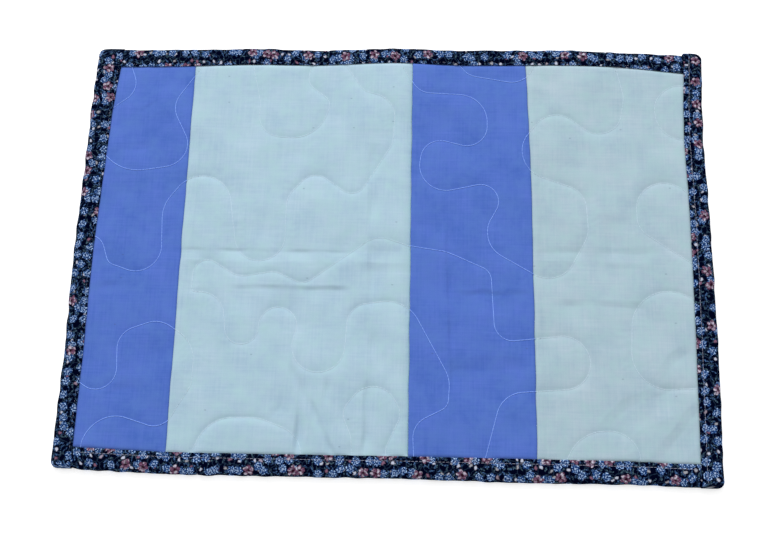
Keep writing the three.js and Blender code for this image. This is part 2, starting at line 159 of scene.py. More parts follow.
# Quilting lines: centre of each turn and its radius, above 0 where the line turns left, 0 at an end
quiltingTurns = [
    [(-203, 150, 0), (-211.5, 128.5, -15.8), (-215, 106, 0)],
    [(-143, 148, 0), (-145, 110, 18.5), (-169.5, 79.5, -17.4), (-187.5, 92, -33), (-218, 75, 0)],
    [(-107.5, 148, 0), (-127.5, 111, -28), (-82, 104.5, 17.6), (-75, 113.5, 27), (-57, 112.5, 9.5),
     (-54, 135, -10), (-62, 148, 0)],
    [(-38, 148, 0), (-13, 136.5, 14), (-17, 104, -18.5), (-13.5, 87, -14.3), (-28.5, 54, -10.3),
     (-55, 43.8, 13.4), (-57.8, 34, 17.7), (-93.5, 9.8, -18.2), (-138.5, 33.5, 22), (-139, 24, 27.2),
     (-182.5, 0, -17.8), (-196.8, -6, -7.5), (-219, -4.5, 13), (-232, 9, 0)],
    [(67.5, -150, 0), (96, -118, -19.5), (122.5, -77.5, 18.6), (88, -50, -13), (62.7, -20.3, 10.5),
     (36, -20, 21), (18.5, 23, -19), (-6, -9, 19), (-61.5, -13, -10.8), (-83, -31, 14.5),
     (-104, -3, -16.8), (-130, -18.7, 10.2), (-137.2, -29.2, 3), (-133.5, -50, -17.8),
     (-102.5, -57.5, 11.8), (-77, -55.5, -13.4), (-47.5, -69.3, 18.6), (-13.5, -53, -14.6),
     (-0.5, -62, -25.6), (20, -96, -24.3), (35.5, -104.5, -8.3), (35, -131, 15), (21, -147, 0)],
    [(-217, -97, 0), (-202.6, -89.4, 14), (-174.5, -73.5, -15.2), (-163.5, -73, -18.5),
     (-161, -83.5, -26.2), (-146, -95.5, -11.2), (-159.3, -113.8, -13.9), (-185, -145, 23.3),
     (-208.4, -148, 0)],
    [(-133, -148, 0), (-104, -146.5, -26), (-93, -158, -37.8), (-77, -146, -21), (-55, -150, 0)],
    [(-21.5, -148, 0), (-40, -136, 18), (-16, -116, -12), (-8, -114, -17), (-1.5, -115.5, -12.2),
     (16.5, -141.5, 15), (2, -151, 0)],
    [(47, 149, 0), (64, 152, 15), (88, 149.5, 16.7), (106, 148, 0)],
    [(5, 147, 0), (28, 138.5, 15), (48, 100.5, -22), (55, 96.8, -15), (36, 71, 14.5), (40, 66, 19.2),
     (65.2, 38.5, -13), (90.5, 15.5, 20.2), (113, 2.5, 20), (119, 20, 23), (123.5, 34.5, 17.8),
     (117, 78, -21.5), (121, 88.5, -18.3), (151.5, 109.5, 17), (147.2, 121, 23), (164.5, 150, 0)],
    [(222, 132, 0), (213, 111, 20.3), (213.5, 109, 20.6), (222, 88, 0)],
    [(220, 42, 0), (197, 34.5, 20.3), (192.5, 28, 15.6), (219, -8, 0)],
    [(221, -34, 0), (197, -52, 26.5), (194, -69.8, 24.5), (220, -92.5, 0)],
    [(121, -149, 0), (150.5, -150.8, -27.3), (153.5, -142.7, -19.3), (173, -150, 0)],
]


def along(rows, column, at):  # one column of a table, on a smooth curve through its rows
    place = np.array([row["at"] for row in rows], float)
    value = np.array([row[column] for row in rows], float)
    order = np.arange(len(rows))
    before = np.maximum(order - 1, 0)
    after = np.minimum(order + 1, len(rows) - 1)
    slope = (value[after] - value[before]) / (place[after] - place[before])
    at = np.clip(at, place[0], place[-1])
    i = np.clip(np.searchsorted(place, at) - 1, 0, len(rows) - 2)
    span = place[i + 1] - place[i]
    t = (at - place[i]) / span
    leave = slope[i] * span * t * (1 - t) ** 2
    arrive = slope[i + 1] * span * t * t * (t - 1)
    return value[i] + (value[i + 1] - value[i]) * eased(t) + leave + arrive


def outerEdge(side, at):
    return halfSize[side] + along(bindingEdges[side], "out", at)


def innerEdge(side, at):
    return outerEdge(side, at) - along(bindingEdges[side], "face", at)


def seamPlace(k, y):
    waves = softWaves(0 * y, y, seamWander["length"], seamWander["seed"] + k)
    return along(seamLines[k], "x", y) + seamWander["by"] * waves


def fromBinding(x, y):  # distance in from each strip's inner edge, below 0 under the strip
    return dict(
        top=innerEdge("top", x) - y, bottom=y + innerEdge("bottom", x),
        left=x + innerEdge("left", y), right=innerEdge("right", y) - x,
    )


def toBinding(x, y):
    return np.minimum.reduce(list(fromBinding(x, y).values()))


def quiltingPath(turns, step=1.0):  # straight runs that join round turns without a corner
    headings = []
    for (x1, y1, r1), (x2, y2, r2) in zip(turns, turns[1:]):
        distance = math.hypot(x2 - x1, y2 - y1)
        headings.append(math.atan2(y2 - y1, x2 - x1) - math.asin((r2 - r1) / distance))
    corners = []
    for i, (x, y, r) in enumerate(turns):
        arrive = headings[max(i - 1, 0)]
        leave = headings[min(i, len(headings) - 1)]
        sign = (r > 0) - (r < 0)
        swing = ((leave - arrive) * sign) % math.tau
        for t in np.linspace(0, 1, max(2, math.ceil(swing * abs(r) / step) + 1)):
            heading = arrive + sign * swing * t
            corners.append((x + r * math.sin(heading), y - r * math.cos(heading)))
    corners = np.array(corners)
    walked = np.concatenate([[0], np.cumsum(np.hypot(*np.diff(corners, axis=0).T))])
    even = np.linspace(0, walked[-1], int(walked[-1] / step) + 1)
    return np.column_stack([np.interp(even, walked, corners[:, k]) for k in (0, 1)])


quiltingPaths = [quiltingPath(turns) for turns in quiltingTurns]
walkApart = 1000  # each line's walk starts this much further on, so its ripples differ
stitchWalk = np.concatenate([np.arange(len(path)) + walkApart * k for k, path in enumerate(quiltingPaths)])
stitchFinder = KDTree(len(stitchWalk))
for index, (px, py) in enumerate(np.vstack(quiltingPaths)):
    stitchFinder.insert((px, py, 0), index)
stitchFinder.balance()


def nearestStitch(x, y):  # distance to the nearest quilting line, and the place along it
    found = [stitchFinder.find((px, py, 0)) for px, py in zip(x.ravel(), y.ravel())]
    distance = np.array([apart for spot, index, apart in found]).reshape(x.shape)
    walk = stitchWalk[[index for spot, index, apart in found]].reshape(x.shape)
    return distance, walk


print("quilting lines:", len(quiltingPaths), "points:", len(stitchWalk))


# Quilted panels

quilt = dict(
    full=4.3,          # thickness of the fullest puffs
    pinch=0.50,        # depth of the narrow groove that a quilting line pulls
    pinchReach=2.2,
    sink=0.20,         # depth of the wide hollow around it
    sinkReach=7.0,
    blueShare=0.6,     # the blue cloth is stiffer and takes this share of both
    soften=0.35,       # roundness at the bottom of the line
    uneven=0.32,       # how much the depth of the quilting varies from place to place
    unevenSize=80,
    unevenSeed=17,     # a seed picks one of many like patterns
    pucker=0.04,       # ripples that the stitches draw up
    puckerLength=6.5,
    puckerStray=2.0,   # how far they fall out of step
    puckerStraySize=20,
    puckerStraySeed=3,
    puckerRise=2.0,    # they are flat at the stitches and grow over this distance
    puckerReach=4.0,
    swells=[
        dict(high=0.22, size=75, seed=5),
        dict(high=0.10, size=34, seed=6),
        dict(high=0.035, size=13, seed=7),
    ],
    shelfSoft=0.4,     # softness of the edge of a seam's allowances
    ditchReach=0.7,    # how far from a seam its sewn line draws the cloth down
    seamGap=0.1,       # between two panels
    underBinding=3.2,  # thickness where the binding holds it
    bindingReach=dict(top=1.0, bottom=0.7, left=1.0, right=0.8),
    nearFall=0.45,     # the near edge slopes down to the binding
    nearReach=6.0,
    tuck=6.0,          # how far it runs on inside the binding
    tuckSunk=0.05,     # it lies so much lower there
    underLift=1.3,     # the underside rises by this much inside the binding
    liftStart=2.5,     # distance from the binding's inner edge where it starts to rise
    liftLength=3.0,
    grid=0.86,         # size of a cell of the face
    underCells=6,      # the plain underside has one cell for so many of the face
)

# Pressed seams: side = towards +X or -X, shelf and high = width and height of the allowances under the cloth
# there, dip = how far it falls to the seam, rise = how far the cloth of the other side stands up,
# ditch = depth of the sewn line itself
seamPressing = [
    dict(side=1, shelf=8.4, high=0.30, dip=0.05, dipReach=2.0, rise=0.0, riseReach=4.0, ditch=0.8),
    dict(side=-1, shelf=4.0, high=0.00, dip=1.60, dipReach=7.0, rise=0.30, riseReach=12.0, ditch=0.1),
    dict(side=1, shelf=5.4, high=0.25, dip=0.05, dipReach=2.0, rise=0.0, riseReach=4.0, ditch=0.8),
]

# Folds pressed into the mat. Walked from the first end to the second, the cloth drops to the line over
# a width on its left, where a part of the drop may tail off, and comes back level over another on its right.
creaseLines = [
    dict(x1=-156, y1=-1.4, x2=-16, y2=-1.6, drop=0.80, wide=1.9, tail=9.0, back=7.4),
    dict(x1=-50, y1=0.2, x2=21, y2=0.3, drop=0.72, wide=16.0, tail=20.0, back=8.6),
    dict(x1=-44, y1=-15.0, x2=21, y2=-15.0, drop=0.46, wide=6.5, back=18),
    dict(x1=98, y1=1.2, x2=200, y2=1.7, drop=0.62, wide=4.4, tail=10.0, back=6.0),
    dict(x1=20, y1=1.0, x2=96, y2=1.4, drop=0.05, wide=3.0, back=8.0),
    dict(x1=-119, y1=-29.3, x2=-21, y2=-29.0, drop=0.86, wide=2.7, back=20),
    dict(x1=44, y1=-31.0, x2=105, y2=-29.6, drop=0.75, wide=3.2, back=14),
    dict(x1=112, y1=-37.0, x2=192, y2=-38.0, drop=0.54, wide=4.2, back=14),
    dict(x1=146, y1=-9.8, x2=198, y2=-10.6, drop=0.26, wide=3.0, back=10),
    dict(x1=-11.2, y1=-44, x2=-15.0, y2=86, drop=0.95, wide=2.8, back=8),
    dict(x1=-9.4, y1=-98, x2=-9.6, y2=-56, drop=1.20, wide=2.8, back=8),
    dict(x1=-12.6, y1=-146, x2=-12.2, y2=-90, drop=2.20, wide=2.8, back=7),
    dict(x1=-58.2, y1=-150, x2=-58.8, y2=-88, drop=1.90, wide=2.6, back=5),
    dict(x1=-58.6, y1=-116, x2=-67, y2=-76, drop=1.20, wide=2.6, back=5),
    dict(x1=-55, y1=-103, x2=-31, y2=-151, drop=1.30, wide=2.8, back=3.4),
    dict(x1=-40.6, y1=-76, x2=-39.4, y2=-113, drop=0.95, wide=2.4, back=2.8),
    dict(x1=-80, y1=-128, x2=-66, y2=-98, drop=0.50, wide=5.0, back=9),
    dict(x1=47.4, y1=-100, x2=41.4, y2=26, drop=1.15, wide=2.0, back=6),
    dict(x1=40, y1=-84, x2=102, y2=-83, drop=0.85, wide=9.0, back=24),
    dict(x1=147, y1=-127, x2=174, y2=-97, drop=0.90, wide=6.0, back=16),
    dict(x1=155, y1=-112, x2=203, y2=-91.5, drop=0.85, wide=6.0, back=16),
    dict(x1=182, y1=-146, x2=219, y2=-101, drop=1.35, wide=6.0, back=13),
    dict(x1=178, y1=-100, x2=214, y2=-61.0, drop=0.80, wide=7.0, back=13),
    dict(x1=159.0, y1=-8, x2=155.0, y2=40, drop=0.80, wide=3.6, back=9),
    dict(x1=-197, y1=103, x2=-174, y2=116, drop=0.40, wide=2.2, back=8),
    dict(x1=-214, y1=72, x2=-172, y2=78, drop=0.45, wide=6.0, back=16),
    dict(x1=-214, y1=-29, x2=-180, y2=-30, drop=0.40, wide=4.0, back=14),
    dict(x1=-202, y1=-109, x2=-160, y2=-98, drop=0.50, wide=6.0, back=16),
]
creaseShape = dict(
    ends=18.0,      # a fold fades out over this length
    rounded=0.4,    # how round its bottom is
    wander=0.6,     # how far a short one strays from its line
    wanderSize=20,
    wanderSeed=31,
    straighter=30,  # one longer than this strays less
    depth=0.85,     # mean share of the drop, which varies from place to place
    patchy=0.3,
    patchSize=28,
    patchSeed=11,
    tailShare=0.5,  # part of the drop that tails off, where a fold has a tail
)


def creaseDrop(x, y, crease):
    c = creaseShape
    dx = crease["x2"] - crease["x1"]
    dy = crease["y2"] - crease["y1"]
    length = math.hypot(dx, dy)
    walked = ((x - crease["x1"]) * dx + (y - crease["y1"]) * dy) / length
    right = ((x - crease["x1"]) * dy - (y - crease["y1"]) * dx) / length
    stray = c["wander"] * min(1, c["straighter"] / length)
    right += stray * softWaves(x, y, c["wanderSize"], c["wanderSeed"])
    away = np.sqrt(right ** 2 + c["rounded"] ** 2) - c["rounded"]
    onLeft = np.clip(1 - away / crease["wide"], 0, 1)
    if "tail" in crease:
        onLeft = (1 - c["tailShare"]) * onLeft + c["tailShare"] * np.exp(-away / crease["tail"])
    onRight = np.clip(1 - away / crease["back"], 0, 1)
    toEnd = np.clip(np.minimum(walked, length - walked) / c["ends"], 0, 1)
    return crease["drop"] * np.where(right < 0, onLeft, onRight) * eased(toEnd)


def onBlue(x, y):
    return (x < seamPlace(0, y)) | ((x > seamPlace(1, y)) & (x < seamPlace(2, y)))


def quiltTop(x, y):  # height of the quilted face
    q = quilt
    distance, walk = nearestStitch(x, y)
    rounded = np.sqrt(distance ** 2 + q["soften"] ** 2) - q["soften"]
    groove = q["pinch"] * np.exp(-rounded / q["pinchReach"]) + q["sink"] * np.exp(-rounded / q["sinkReach"])
    share = np.where(onBlue(x, y), q["blueShare"], 1)
    z = q["full"] - groove * share * (1 + q["uneven"] * softWaves(x, y, q["unevenSize"], q["unevenSeed"]))
    stray = q["puckerStray"] * softWaves(x, y, q["puckerStraySize"], q["puckerStraySeed"])
    ripple = np.sin(math.tau * walk / q["puckerLength"] + stray)
    z += q["pucker"] * ripple * (distance / q["puckerRise"]) * np.exp(-distance / q["puckerReach"])
    for waves in q["swells"]:
        z += waves["high"] * softWaves(x, y, waves["size"], waves["seed"])
    patches = softWaves(x, y, creaseShape["patchSize"], creaseShape["patchSeed"])
    depth = creaseShape["depth"] + creaseShape["patchy"] * patches
    for crease in creaseLines:
        z -= depth * creaseDrop(x, y, crease)
    for k, pressed in enumerate(seamPressing):
        onSide = (x - seamPlace(k, y)) * pressed["side"]
        shelf = 1 / (1 + np.exp((np.abs(onSide) - pressed["shelf"]) / q["shelfSoft"]))
        dip = pressed["dip"] * np.clip(1 - onSide / pressed["dipReach"], 0, 1) ** 2
        rise = pressed["rise"] * np.clip(1 + onSide / pressed["riseReach"], 0, 1) ** 2
        z += np.where(onSide > 0, pressed["high"] * shelf - dip, rise)
        z -= pressed["ditch"] * np.exp(-np.abs(onSide) / q["ditchReach"])
    inside = fromBinding(x, y)
    z -= q["nearFall"] * np.exp(-np.maximum(inside["bottom"], 0) / q["nearReach"])
    held = [np.exp(-np.maximum(inside[side], 0) / reach) for side, reach in q["bindingReach"].items()]
    z += (q["underBinding"] - z) * np.maximum.reduce(held)
    return np.where(toBinding(x, y) < 0, q["underBinding"] - q["tuckSunk"], z)


def quiltUnder(x, y):  # height of the plain underside, which steps up where the binding wraps it
    risen = np.clip((quilt["liftStart"] - toBinding(x, y)) / quilt["liftLength"], 0, 1)
    return quilt["underLift"] * eased(risen)


def panelSides(i):
    last = len(seamLines)
    half = quilt["seamGap"] / 2

    def left(y):
        return seamPlace(i - 1, y) + half if i > 0 else -innerEdge("left", y) - quilt["tuck"]

    def right(y):
        return seamPlace(i, y) - half if i < last else innerEdge("right", y) + quilt["tuck"]

    return left, right


def rimOf(corner):  # the outer points of a grid, in order
    return np.concatenate([corner[0, :-1], corner[:-1, -1], corner[-1, :0:-1], corner[:0:-1, 0]])


def quiltedPanel(name, i, cotton, backing):
    left, right = panelSides(i)
    width = float(right(0.0) - left(0.0))
    depth = float(innerEdge("top", 0.0) + innerEdge("bottom", 0.0)) + 2 * quilt["tuck"]
    cells = quilt["underCells"]
    columns = cells * round(width / quilt["grid"] / cells)
    rows = cells * round(depth / quilt["grid"] / cells)
    u, v = np.meshgrid(np.linspace(0, 1, columns + 1), np.linspace(0, 1, rows + 1))
    x = left(0.0) + u * width
    for settle in range(4):  # sides and ends depend on each other, and settle in a few rounds
        low = -innerEdge("bottom", x) - quilt["tuck"]
        high = innerEdge("top", x) + quilt["tuck"]
        y = low + v * (high - low)
        x = left(y) + u * (right(y) - left(y))
    face = np.column_stack([x.ravel(), y.ravel(), quiltTop(x, y).ravel()])
    under = np.column_stack([x.ravel(), y.ravel(), quiltUnder(x, y).ravel()])
    corner = np.arange(len(face)).reshape(x.shape)
    a, b, c, d = (corner[:-1, :-1], corner[:-1, 1:], corner[1:, 1:], corner[1:, :-1])
    topFaces = np.stack([a, b, c, d], -1).reshape(-1, 4).tolist()
    rim = rimOf(corner)
    onRim = np.zeros(len(face), bool)
    onRim[rim] = True
    underFaces = []
    used = {}
    for row in range(0, rows, cells):
        for column in range(0, columns, cells):
            block = corner[row:row + cells + 1, column:column + cells + 1]
            ends = {block[0, 0], block[0, -1], block[-1, 0], block[-1, -1]}
            around = [k for k in rimOf(block) if onRim[k] or k in ends]
            underFaces.append([used.setdefault(k, len(face) + len(used)) for k in reversed(around)])
    walls = [[k, used[k], used[after], after] for k, after in zip(rim, np.roll(rim, -1))]
    points = np.vstack([face, under[list(used)]])
    kinds = np.repeat([0, 1], [len(topFaces), len(underFaces) + len(walls)]).astype(np.int32)
    piece = newPiece(name, points, topFaces + underFaces + walls, [cotton, backing], kinds)
    print(name, "faces:", len(kinds))
    return piece, (width * mm, depth * mm)


# Folded binding

binding = dict(
    step=1.4,            # spacing of its sections
    endSections=(0.25, 0.6, 1.1, 1.8, 2.7, 3.8),  # more of them, this far from a rounded end
    cloth=0.6,           # thickness
    cornerRound=5.0,
    endSoft=0.45,        # the ends are pressed flatter by this share
    middleHeight=2.1,    # towards this height
    shut=0.9,            # share by which the fold's inside closes there
    ripple=0.16,         # unevenness of the fold, drawn up by the topstitching
    rippleLength=9.0,
    rippleSeed=30,       # seeds of the first strip: each of the others takes the next ones
    tightLength=5.0,     # it is tighter beside the stitches
    tightSeed=35,
    edgeWander=0.18,
    wanderLength=14.0,
    wanderSeed=20,
    innerShare=0.4,      # share of the wander that the inner edge takes
    roll=4.2,            # width of the rounded outer edge
    gap=0.1,             # between two strips at a corner
    printShift=600,      # each strip is cut from another stretch of the print
)
topstitchInset = dict(top=1.9, bottom=3.3, left=1.9, right=4.0)  # from the inner edge

# Outline of the fold, from under the inner edge round to its top: line = what out is measured from,
# ripple and tight = share of either unevenness that the point takes
foldSection = [
    dict(line="inner", out=0.0, z=0.0),
    dict(line="inner", out=5.0, z=0.0),
    dict(line="outer", out=-4.0, z=0.0),
    dict(line="outer", out=-1.6, z=0.05),
    dict(line="outer", out=-0.45, z=0.7),
    dict(line="outer", out=0.0, z=2.0),
    dict(line="outer", out=-0.45, z=3.3, ripple=1.0),
    dict(line="outer", out=-1.8, z=4.15, ripple=1.0),
    dict(line="outer", out=-4.2, z=4.55, ripple=1.0),
    dict(line="middle", out=0.0, z=4.65, ripple=1.0),
    dict(line="stitch", out=1.3, z=4.5, tight=0.6),
    dict(line="stitch", out=0.0, z=4.1, tight=0.3),
    dict(line="stitch", out=-1.0, z=4.35, tight=0.6),
    dict(line="inner", out=0.25, z=4.3, tight=0.5),
    dict(line="inner", out=0.0, z=3.85, tight=0.3),
]


def roundOff(points, times=2):  # cuts the corners of an open outline
    for turn in range(times):
        first = points[..., :-1, :] * 0.75 + points[..., 1:, :] * 0.25
        second = points[..., :-1, :] * 0.25 + points[..., 1:, :] * 0.75
        cut = np.stack([first, second], -2).reshape(*points.shape[:-2], -1, 2)
        points = np.concatenate([points[..., :1, :], cut, points[..., -1:, :]], -2)
    return points


def stripEnds(side, out):
    if side in sideEnds:
        return sideEnds[side]
    at = out if side == "top" else -out
    return binding["gap"] - innerEdge("left", at), innerEdge("right", at) - binding["gap"]


def stripPlace(side, at, out, z):
    flip = -1 if side in ("bottom", "left") else 1
    return np.stack([flip * out, at, z] if side in sideEnds else [at, flip * out, z], -1)


def stripSections(side):  # outer outline of the folded strip at each station along it
    b = binding
    start, end = stripEnds(side, halfSize[side])
    count = round(float(end - start) / b["step"])
    share = np.linspace(0, 1, count + 1)
    if side in sideEnds:  # closer sections where the ends round off
        rounded = np.array(b["endSections"]) / (end - start)
        share = np.unique(np.concatenate([share, rounded, 1 - rounded]))
    at = start + share * (end - start)
    short = np.clip(b["cornerRound"] - np.minimum(at - start, end - at), 0, b["cornerRound"])
    if side not in sideEnds:  # the other two end square, under the side strips
        short = short * 0
    cut = b["cornerRound"] - np.sqrt(b["cornerRound"] ** 2 - short ** 2)
    lower = b["endSoft"] * (short / b["cornerRound"]) ** 4
    strip = list(bindingEdges).index(side)
    wander = b["edgeWander"] * softWaves(at, 0 * at, b["wanderLength"], b["wanderSeed"] + strip)
    ripple = b["ripple"] * softWaves(at, 0 * at, b["rippleLength"], b["rippleSeed"] + strip)
    tight = b["ripple"] * softWaves(at, 0 * at, b["tightLength"], b["tightSeed"] + strip)
    outer = outerEdge(side, at) - cut + wander
    inner = innerEdge(side, at) + b["innerShare"] * wander
    stitch = inner + topstitchInset[side]
    lines = dict(outer=outer, inner=inner, stitch=stitch, middle=(stitch + outer - b["roll"]) / 2)
    rows = [
        (lines[row["line"]] + row["out"],
         row["z"] + row.get("ripple", 0) * ripple + row.get("tight", 0) * tight)
        for row in foldSection
    ]
    outline = roundOff(np.stack([np.stack([out, z], -1) for out, z in rows], 1))
    outline[..., 1] += (b["middleHeight"] - outline[..., 1]) * lower[:, None]
    return share, at, outline, short


def foldedStrip(side, printedCloth):
    share, at, outline, short = stripSections(side)
    sections, count = outline.shape[:2]
    shut = (short / binding["cornerRound"])[:, None] ** 2  # the fold's inside closes at a tucked end
    step = np.gradient(outline, axis=1)
    length = np.maximum(np.linalg.norm(step, axis=-1, keepdims=True), 1e-9)
    inward = np.stack([-step[..., 1], step[..., 0]], -1) / length
    inside = outline + inward * binding["cloth"]
    inside[..., 1] += (binding["middleHeight"] - inside[..., 1]) * shut * binding["shut"]
    inside[..., 0] = np.maximum(inside[..., 0], outline[:, :1, 0])
    ring = np.concatenate([outline, inside[:, ::-1]], 1)
    first, last = stripEnds(side, ring[..., 0])
    place = np.broadcast_to(first + (last - first) * share[:, None], ring.shape[:2])
    points = stripPlace(side, place, ring[..., 0], ring[..., 1]).reshape(-1, 3)
    size = 2 * count
    corner = np.arange(sections * size).reshape(sections, size)
    nextCorner = np.roll(corner, -1, axis=1)
    quads = np.stack([corner[:-1], nextCorner[:-1], nextCorner[1:], corner[1:]], -1).reshape(-1, 4)
    cap = np.stack([np.arange(count - 1), np.arange(1, count), size - 2 - np.arange(count - 1),
                    size - 1 - np.arange(count - 1)], -1)
    faces = np.vstack([quads, cap[:, ::-1], cap + (sections - 1) * size])
    if side in ("top", "left"):  # these two run the other way round
        faces = faces[:, ::-1]
    piece = newPiece(f"binding_{side}_cloth", points, faces.tolist(), [printedCloth])
    walked = np.cumsum(np.concatenate([np.zeros((sections, 1)), length[:, 1:, 0]], 1), 1)
    across = np.concatenate([walked, walked[:, ::-1]], 1)
    shift = binding["printShift"] * list(bindingEdges).index(side)
    printed = np.stack([place + shift, across, 0 * place], -1).reshape(-1, 3)
    layer = piece.data.attributes.new("printPlace", "FLOAT_VECTOR", "POINT")
    layer.data.foreach_set("vector", printed.astype(np.float32).ravel())
    print(piece.name, "faces:", len(faces))
    return piece, (float(walked[:, -1].mean()) * mm, float(at[-1] - at[0]) * mm)


# Stitches, by Geometry Nodes along the sewn lines

quiltingThread = dict(
    blue=dict(pitch=2.6, stitch=4.2, thick=0.46, seed=4),
    pale=dict(pitch=2.6, stitch=4.0, thick=0.28, seed=5),
    proud=0.3,        # share of its thickness that its middle stands above the cloth
    fromBinding=0.4,  # it shows from this far in
    shortest=3,       # a run of no more points isn't sewn
)
topstitchThread = dict(
    pitch=2.6, stitch=2.8, thick=0.3, seed=9,
    sunk=dict(top=0.13, bottom=-0.05, left=0.12, right=-0.02),  # pulled down into the cloth
    clear=4.0,        # it stops this far from a strip's ends
)
stitchVary = dict(least=0.82, most=1.06)  # no two stitches are quite the same size


def stitchNodes(name):
    tree = bpy.data.node_groups.new(name, "GeometryNodeTree")
    sockets = [("Sewn line", "NodeSocketGeometry"), ("Pitch", "NodeSocketFloat"),
               ("Stitch length", "NodeSocketFloat"), ("Thread thickness", "NodeSocketFloat"),
               ("Seed", "NodeSocketInt"), ("Thread", "NodeSocketMaterial")]
    for label, kind in sockets:
        tree.interface.new_socket(label, in_out="INPUT", socket_type=kind)
    tree.interface.new_socket("Stitches", in_out="OUTPUT", socket_type="NodeSocketGeometry")
    given = addNode(tree, "NodeGroupInput").outputs
    line = addNode(tree, "GeometryNodeMeshToCurve", {"Mesh": given["Sewn line"]})
    places = addNode(tree, "GeometryNodeResampleCurve",
                     {"Curve": line.outputs["Curve"], "Length": given["Pitch"]}, mode="LENGTH")
    grain = addNode(tree, "GeometryNodeMeshUVSphere", {"Segments": 6, "Rings": 5, "Radius": 0.5})
    shape = addNode(tree, "ShaderNodeCombineXYZ", {
        "X": given["Stitch length"], "Y": given["Thread thickness"], "Z": given["Thread thickness"]})
    stitch = addNode(tree, "GeometryNodeTransform",
                     {"Geometry": grain.outputs["Mesh"], "Scale": shape.outputs["Vector"]})
    heading = addNode(tree, "GeometryNodeInputTangent")
    turn = addNode(tree, "FunctionNodeAlignRotationToVector",
                   {"Vector": heading.outputs["Tangent"]}, axis="X")
    vary = addNode(tree, "FunctionNodeRandomValue", {"Seed": given["Seed"]}, data_type="FLOAT")
    vary.inputs[2].default_value = stitchVary["least"]  # lowest and highest of the float kind
    vary.inputs[3].default_value = stitchVary["most"]
    copies = addNode(tree, "GeometryNodeInstanceOnPoints", {
        "Points": places.outputs["Curve"], "Instance": stitch.outputs["Geometry"],
        "Rotation": turn.outputs["Rotation"], "Scale": vary.outputs[1]})
    whole = addNode(tree, "GeometryNodeRealizeInstances", {"Geometry": copies.outputs["Instances"]})
    smooth = addNode(tree, "GeometryNodeSetShadeSmooth", {"Geometry": whole.outputs["Geometry"]})
    dyed = addNode(tree, "GeometryNodeSetMaterial",
                   {"Geometry": smooth.outputs["Geometry"], "Material": given["Thread"]})
    addNode(tree, "NodeGroupOutput", {"Stitches": dyed.outputs["Geometry"]})
    return tree


def sewStitches(name, runs, settings, thread, tree):
    points = np.vstack(runs)
    ends = np.cumsum([len(run) for run in runs])
    pairs = [(k, k + 1) for k in range(len(points) - 1) if k + 1 not in ends]
    mesh = bpy.data.meshes.new(name)
    mesh.from_pydata((points * mm).tolist(), pairs, [])
    piece = bpy.data.objects.new(name, mesh)
    bpy.context.collection.objects.link(piece)
    modifier = piece.modifiers.new("Stitches", "NODES")
    modifier.node_group = tree
    values = {"Pitch": settings["pitch"] * mm, "Stitch length": settings["stitch"] * mm,
              "Thread thickness": settings["thick"] * mm, "Seed": settings["seed"], "Thread": thread}
    for item in tree.interface.items_tree:
        if item.in_out == "INPUT" and item.name in values:
            modifier[item.identifier] = values[item.name]
    sewn = piece.evaluated_get(bpy.context.evaluated_depsgraph_get())
    stitches = bpy.data.meshes.new_from_object(sewn)
    piece.modifiers.remove(modifier)
    piece.data = stitches
    bpy.data.meshes.remove(mesh)
    print(name, "faces:", len(stitches.polygons))
    return piece


def quiltingRuns(over):  # the stretches of the quilting lines that lie over the blue or the pale cloth
    runs = []
    for path in quiltingPaths:
        x, y = path.T
        shown = (toBinding(x, y) > quiltingThread["fromBinding"]) & (onBlue(x, y) == (over == "blue"))
        z = quiltTop(x, y) + quiltingThread["proud"] * quiltingThread[over]["thick"]
        whole = np.column_stack([x, y, z])
        breaks = np.flatnonzero(np.diff(shown.astype(int))) + 1
        runs += [part for part, seen in zip(np.split(whole, breaks), np.split(shown, breaks))
                 if seen[0] and len(part) > quiltingThread["shortest"]]
    return runs


def topstitchRuns():
    runs = []
    for side in bindingEdges:
        share, at, outline = stripSections(side)[:3]
        out = outline[:, -1, 0] + topstitchInset[side]
        half = outline.shape[1] // 2  # the second half of the outline is the strip's face
        nearest = np.argmin(np.abs(outline[:, half:, 0] - out[:, None]), axis=1)
        z = outline[np.arange(len(at)), nearest + half, 1]
        first, last = stripEnds(side, out)
        place = first + (last - first) * share
        clear = np.minimum(at - at[0], at[-1] - at) > topstitchThread["clear"]
        line = stripPlace(side, place, out, z - topstitchThread["sunk"][side])
        runs.append(line[clear])
    return runs


# Materials

cottonCloth = dict(     # sizes in mm
    threadPitch=1.3,    # drawn coarser than the real 0.4, which is too fine to show
    weaveShare=0.35,    # how much of the relief is weave, beside the uneven threads
    streakWide=1.2,     # thicker and thinner threads
    streakLong=30.0,
    blotchSize=24.0,    # uneven dye, weighed against the threads
    blotchWeight=2.0,
    darkest=1.53,       # sum of threads and dye that gives the shade, and the light tone
    lightest=2.47,
    patchSize=10.0,     # faded patches, from where they start to where they are full
    patchStart=0.4,
    patchFull=0.8,
    slubCell=19.0,      # one slub to a cell at most
    slubLong=1.7,       # its length to its height
    slubEdge=0.6,       # from its middle: where it starts to show, and where it is darkest
    slubCore=0.3,
    slubStrength=0.3,
    slubTone="3f4f66",
)
cottonTones = dict(
    blue=dict(shade="4466b9", light="5572c8", faded="5275c1", slubShare=0.06),
    paleLeft=dict(shade="9ebacd", light="aec7d7", faded="a7c8d0", slubShare=0.25),
    paleRight=dict(shade="9cb5c4", light="aec2ce", faded="a4c3c9", slubShare=0.25),
    backing=dict(shade="9dbacd", light="adc8d7", faded="adc7cf", slubShare=0.25),
)


